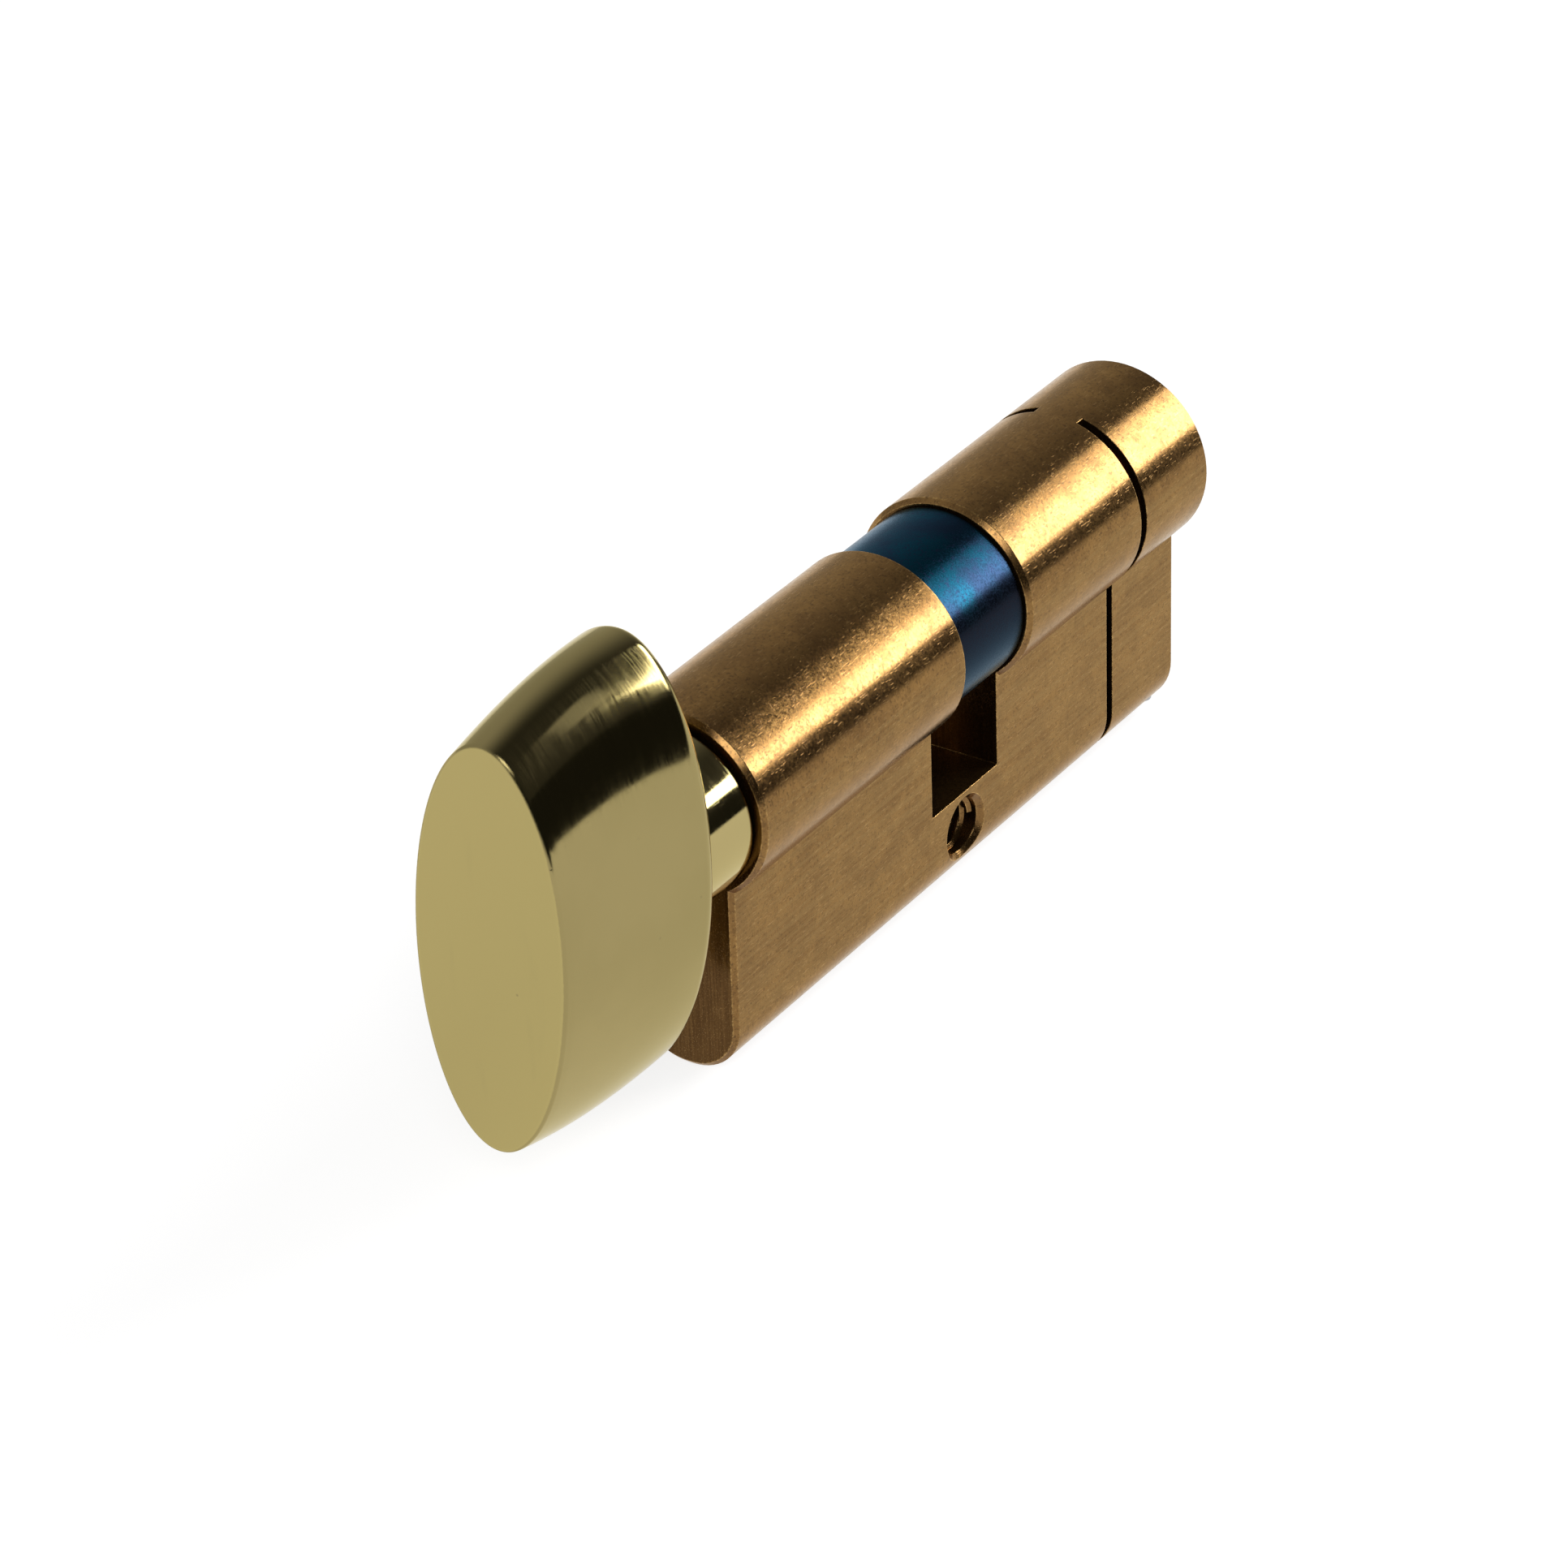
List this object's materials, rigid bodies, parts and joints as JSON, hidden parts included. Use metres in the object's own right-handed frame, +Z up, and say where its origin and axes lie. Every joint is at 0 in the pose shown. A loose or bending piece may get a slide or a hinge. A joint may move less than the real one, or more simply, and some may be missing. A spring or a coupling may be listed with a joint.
{
  "type": "euro thumb turn cylinder",
  "caption": "Euro profile door cylinder with an oval thumb turn on one side, a keyed plug on the other, a steel cam between them and a snap-off slit.",
  "frame": {"origin": "on the barrel's axis, in the middle of the cam gap, straight above the fixing screw", "axes": "+X along the barrel towards the key's face, +Z up from the web towards the barrel, +Y across"},
  "size_m": [0.0954, 0.0227, 0.0444],
  "materials": {
    "satin_brass": "tumbled, slightly tarnished",
    "polished_brass": "mirror polished",
    "machined_brass": "turned",
    "blued_steel": "heat blued, satin",
    "hard_steel": "ground",
    "spring_steel": "drawn wire"
  },
  "bodies": {
    "housing": {"body": "satin_brass", "anti_drill_pin_1": "hard_steel", "anti_drill_pin_2": "hard_steel", "chamber_plug_1": "machined_brass", "chamber_plug_2": "machined_brass", "chamber_plug_3": "machined_brass", "chamber_plug_4": "machined_brass", "chamber_plug_5": "machined_brass", "chamber_plug_6": "machined_brass", "pin_spring_1": "spring_steel", "pin_spring_2": "spring_steel", "pin_spring_3": "spring_steel", "pin_spring_4": "spring_steel", "pin_spring_5": "spring_steel", "pin_spring_6": "spring_steel"},
    "turn": {"turn_knob": "polished_brass", "knob_grub_screw": "hard_steel", "turn_spindle": "machined_brass", "spindle_circlip": "spring_steel", "clutch_spring": "spring_steel", "cam": "blued_steel"},
    "plug": {"key_plug": "machined_brass", "plug_circlip": "spring_steel"},
    "clutch_bar": {"clutch": "hard_steel"},
    "key_pin_1_stack": {"key_pin_1": "machined_brass"},
    "driver_pin_1_stack": {"driver_pin_1": "hard_steel"},
    "key_pin_2_stack": {"key_pin_2": "machined_brass"},
    "driver_pin_2_stack": {"driver_pin_2": "hard_steel"},
    "key_pin_3_stack": {"key_pin_3": "machined_brass"},
    "driver_pin_3_stack": {"driver_pin_3": "hard_steel"},
    "key_pin_4_stack": {"key_pin_4": "machined_brass"},
    "driver_pin_4_stack": {"driver_pin_4": "hard_steel"},
    "key_pin_5_stack": {"key_pin_5": "machined_brass"},
    "driver_pin_5_stack": {"driver_pin_5": "hard_steel"},
    "key_pin_6_stack": {"key_pin_6": "machined_brass"},
    "driver_pin_6_stack": {"driver_pin_6": "hard_steel"}
  },
  "joints": [
    {"name": "turn_spin", "type": "hinge", "parent": "housing", "child": "turn", "pos_m": [0, 0, 0], "axis": [1, 0, 0], "continuous": true},
    {"name": "plug_spin", "type": "hinge", "parent": "housing", "child": "plug", "pos_m": [0, 0, 0], "axis": [1, 0, 0], "continuous": true},
    {"name": "clutch_slide", "type": "slide", "parent": "plug", "child": "clutch_bar", "axis": [-1, 0, 0], "range_m": [0, 0.0021], "stiffness_N_per_m": 200, "deforming": ["clutch_spring"]},
    {"name": "key_pin_1_slide", "type": "slide", "parent": "plug", "child": "key_pin_1_stack", "axis": [0, 0, 1], "range_m": [0, 0.00372]},
    {"name": "driver_pin_1_slide", "type": "slide", "parent": "housing", "child": "driver_pin_1_stack", "axis": [0, 0, 1], "range_m": [-0.00103, 0], "stiffness_N_per_m": 100, "deforming": ["pin_spring_1"]},
    {"name": "key_pin_2_slide", "type": "slide", "parent": "plug", "child": "key_pin_2_stack", "axis": [0, 0, 1], "range_m": [0, 0.00282]},
    {"name": "driver_pin_2_slide", "type": "slide", "parent": "housing", "child": "driver_pin_2_stack", "axis": [0, 0, 1], "range_m": [-0.00193, 0], "stiffness_N_per_m": 100, "deforming": ["pin_spring_2"]},
    {"name": "key_pin_3_slide", "type": "slide", "parent": "plug", "child": "key_pin_3_stack", "axis": [0, 0, 1], "range_m": [0, 0.00417]},
    {"name": "driver_pin_3_slide", "type": "slide", "parent": "housing", "child": "driver_pin_3_stack", "axis": [0, 0, 1], "range_m": [-0.00058, 0], "stiffness_N_per_m": 100, "deforming": ["pin_spring_3"]},
    {"name": "key_pin_4_slide", "type": "slide", "parent": "plug", "child": "key_pin_4_stack", "axis": [0, 0, 1], "range_m": [0, 0.00237]},
    {"name": "driver_pin_4_slide", "type": "slide", "parent": "housing", "child": "driver_pin_4_stack", "axis": [0, 0, 1], "range_m": [-0.00238, 0], "stiffness_N_per_m": 100, "deforming": ["pin_spring_4"]},
    {"name": "key_pin_5_slide", "type": "slide", "parent": "plug", "child": "key_pin_5_stack", "axis": [0, 0, 1], "range_m": [0, 0.00327]},
    {"name": "driver_pin_5_slide", "type": "slide", "parent": "housing", "child": "driver_pin_5_stack", "axis": [0, 0, 1], "range_m": [-0.00148, 0], "stiffness_N_per_m": 100, "deforming": ["pin_spring_5"]},
    {"name": "key_pin_6_slide", "type": "slide", "parent": "plug", "child": "key_pin_6_stack", "axis": [0, 0, 1], "range_m": [0, 0.00282]},
    {"name": "driver_pin_6_slide", "type": "slide", "parent": "housing", "child": "driver_pin_6_stack", "axis": [0, 0, 1], "range_m": [-0.00193, 0], "stiffness_N_per_m": 100, "deforming": ["pin_spring_6"]}
  ]
}
